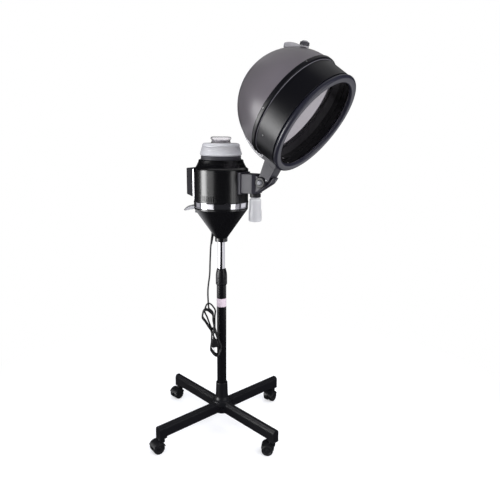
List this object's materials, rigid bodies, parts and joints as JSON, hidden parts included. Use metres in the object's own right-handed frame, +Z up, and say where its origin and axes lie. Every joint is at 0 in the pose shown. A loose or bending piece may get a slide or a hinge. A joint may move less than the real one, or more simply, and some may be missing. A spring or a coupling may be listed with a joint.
{
  "type": "hood hair steamer on a rolling stand",
  "caption": "Salon hood hair steamer: tilting smoked hood over a boiler head with a water jar, on a telescopic mast and a star base with casters.",
  "frame": {"origin": "on the floor, under the middle of the whole machine's box, measured without the cord", "axes": "+Z up along the column; +X from the column towards the hood's opening; +Y to the left of the hood seen from behind it"},
  "size_m": [0.7723, 0.6118, 1.4036],
  "materials": {
    "base_plastic": "satin moulded black",
    "column_paint": "gloss black paint",
    "shell_black": "polished black",
    "satin_black": "satin black",
    "wheel_rubber": "dull black",
    "cord_rubber": "dull black",
    "chrome": "mirror plated",
    "steel": "fine turned",
    "grey_plastic": "dark grey, fine grain",
    "gasket_rubber": "grey, soft",
    "plate_metal": "satin",
    "smoke_clear": "smoked, clear, polished",
    "clear_plastic": "clear, polished",
    "milky_plastic": "milky, slightly ribbed",
    "red_lens": "clear red"
  },
  "bodies": {
    "stand": {"star_base": "base_plastic", "hub_bolt": "steel", "column_tube": "column_paint", "collet": "grey_plastic", "caster_stem_1": "steel", "caster_stem_2": "steel", "caster_stem_3": "steel", "caster_stem_4": "steel"},
    "collar": {"locking_collar": "satin_black"},
    "mast": {"inner_tube": "chrome", "guide_bush": "grey_plastic"},
    "head": {"cone_housing": "shell_black", "cord_gland": "cord_rubber", "body_shell": "shell_black", "clamp_band": "chrome", "shoulder_cover": "shell_black", "neck_gasket": "gasket_rubber", "boiler_cup": "steel", "heater_ring": "steel", "control_plate": "plate_metal", "control_box": "grey_plastic", "pilot_lamp": "red_lens", "drain_tap": "satin_black", "yoke_saddle": "satin_black", "yoke": "satin_black", "stop_bumper": "steel", "bottle_cap": "satin_black", "cord_drop": "cord_rubber", "cord_hank": "cord_rubber", "plug": "cord_rubber"},
    "timer": {"timer_knob": "satin_black"},
    "rocker": {"power_rocker": "satin_black"},
    "lever": {"drain_lever": "chrome"},
    "bottle": {"drip_bottle": "milky_plastic"},
    "jar": {"reservoir_jar": "milky_plastic"},
    "jar_cap": {"reservoir_cap": "clear_plastic"},
    "hood": {"hood_bracket": "satin_black", "friction_disc": "wheel_rubber", "hinge_bolt": "chrome", "hood_saddle": "satin_black", "hood_lip": "satin_black", "hood_band": "satin_black", "hood_ring": "shell_black", "hood_dome": "smoke_clear", "steam_duct": "clear_plastic"},
    "vent": {"vent_scoop": "milky_plastic"},
    "vent_clamp": {"vent_knob": "grey_plastic"},
    "caster_1": {"caster_housing_1": "base_plastic"},
    "caster_2": {"caster_housing_2": "base_plastic"},
    "caster_3": {"caster_housing_3": "base_plastic"},
    "caster_4": {"caster_housing_4": "base_plastic"},
    "wheel_left_1": {"caster_wheel_left_1": "wheel_rubber"},
    "wheel_left_2": {"caster_wheel_left_2": "wheel_rubber"},
    "wheel_left_3": {"caster_wheel_left_3": "wheel_rubber"},
    "wheel_left_4": {"caster_wheel_left_4": "wheel_rubber"},
    "wheel_right_1": {"caster_wheel_right_1": "wheel_rubber"},
    "wheel_right_2": {"caster_wheel_right_2": "wheel_rubber"},
    "wheel_right_3": {"caster_wheel_right_3": "wheel_rubber"},
    "wheel_right_4": {"caster_wheel_right_4": "wheel_rubber"}
  },
  "joints": [
    {"name": "collar_twist", "type": "hinge", "parent": "stand", "child": "collar", "pos_m": [-0.0844, 0.0137, 0.6], "axis": [0, 0, 1], "range_deg": [0, 90]},
    {"name": "mast_slide", "type": "slide", "parent": "stand", "child": "mast", "axis": [0, 0, 1], "range_m": [-0.09, 0.2]},
    {"name": "head_swivel", "type": "hinge", "parent": "mast", "child": "head", "pos_m": [-0.0844, 0.0137, 0.76], "axis": [0, 0, 1], "range_deg": [-170, 170]},
    {"name": "hood_tilt", "type": "hinge", "parent": "head", "child": "hood", "pos_m": [0.0971, 0.0137, 0.9625], "axis": [0, 1, 0], "range_deg": [-15, 5]},
    {"name": "vent_swing", "type": "hinge", "parent": "hood", "child": "vent", "pos_m": [0.23194, 0.0137, 1.38281], "axis": [0.1822, 0, 0.9833], "range_deg": [-45, 45]},
    {"name": "vent_knob_turn", "type": "hinge", "parent": "vent", "child": "vent_clamp", "pos_m": [0.23194, 0.0137, 1.38281], "axis": [0.1822, 0, 0.9833], "range_deg": [0, 360]},
    {"name": "timer_turn", "type": "hinge", "parent": "head", "child": "timer", "pos_m": [-0.2174, 0.0137, 0.9655], "axis": [-1, 0, 0], "range_deg": [-300, 0]},
    {"name": "power_rock", "type": "hinge", "parent": "head", "child": "rocker", "pos_m": [-0.2164, 0.0247, 0.9235], "axis": [0, 0, 1], "range_deg": [-14, 0]},
    {"name": "drain_lift", "type": "hinge", "parent": "head", "child": "lever", "pos_m": [-0.2039, 0.0137, 0.8515], "axis": [0, 1, 0], "range_deg": [0, 30]},
    {"name": "bottle_drop", "type": "slide", "parent": "head", "child": "bottle", "axis": [0, 0, -1], "range_m": [0, 0.1]},
    {"name": "jar_lift", "type": "slide", "parent": "head", "child": "jar", "axis": [0, 0, 1], "range_m": [0, 0.12]},
    {"name": "cap_twist", "type": "hinge", "parent": "jar", "child": "jar_cap", "pos_m": [-0.0844, 0.0137, 1.1], "axis": [0, 0, 1], "range_deg": [0, 360]},
    {"name": "caster_swivel_1", "type": "hinge", "parent": "stand", "child": "caster_1", "pos_m": [0.18995, -0.05572, 0.05], "axis": [0, 0, 1], "continuous": true},
    {"name": "caster_swivel_2", "type": "hinge", "parent": "stand", "child": "caster_2", "pos_m": [-0.01498, 0.28805, 0.05], "axis": [0, 0, 1], "continuous": true},
    {"name": "caster_swivel_3", "type": "hinge", "parent": "stand", "child": "caster_3", "pos_m": [-0.35875, 0.08312, 0.05], "axis": [0, 0, 1], "continuous": true},
    {"name": "caster_swivel_4", "type": "hinge", "parent": "stand", "child": "caster_4", "pos_m": [-0.15382, -0.26065, 0.05], "axis": [0, 0, 1], "continuous": true},
    {"name": "wheel_spin_left_1", "type": "hinge", "parent": "caster_1", "child": "wheel_left_1", "pos_m": [0.17377, -0.06361, 0.021], "axis": [0.4384, -0.8988, 0], "continuous": true},
    {"name": "wheel_spin_right_1", "type": "hinge", "parent": "caster_1", "child": "wheel_right_1", "pos_m": [0.17377, -0.06361, 0.021], "axis": [0.4384, -0.8988, 0], "continuous": true},
    {"name": "wheel_spin_left_2", "type": "hinge", "parent": "caster_2", "child": "wheel_left_2", "pos_m": [-0.01498, 0.27005, 0.021], "axis": [1, 0, 0], "continuous": true},
    {"name": "wheel_spin_right_2", "type": "hinge", "parent": "caster_2", "child": "wheel_right_2", "pos_m": [-0.01498, 0.27005, 0.021], "axis": [1, 0, 0], "continuous": true},
    {"name": "wheel_spin_left_3", "type": "hinge", "parent": "caster_3", "child": "wheel_left_3", "pos_m": [-0.36188, 0.0654, 0.021], "axis": [0.9848, -0.1736, 0], "continuous": true},
    {"name": "wheel_spin_right_3", "type": "hinge", "parent": "caster_3", "child": "wheel_right_3", "pos_m": [-0.36188, 0.0654, 0.021], "axis": [0.9848, -0.1736, 0], "continuous": true},
    {"name": "wheel_spin_left_4", "type": "hinge", "parent": "caster_4", "child": "wheel_left_4", "pos_m": [-0.15998, -0.27757, 0.021], "axis": [0.9397, -0.342, 0], "continuous": true},
    {"name": "wheel_spin_right_4", "type": "hinge", "parent": "caster_4", "child": "wheel_right_4", "pos_m": [-0.15998, -0.27757, 0.021], "axis": [0.9397, -0.342, 0], "continuous": true}
  ]
}
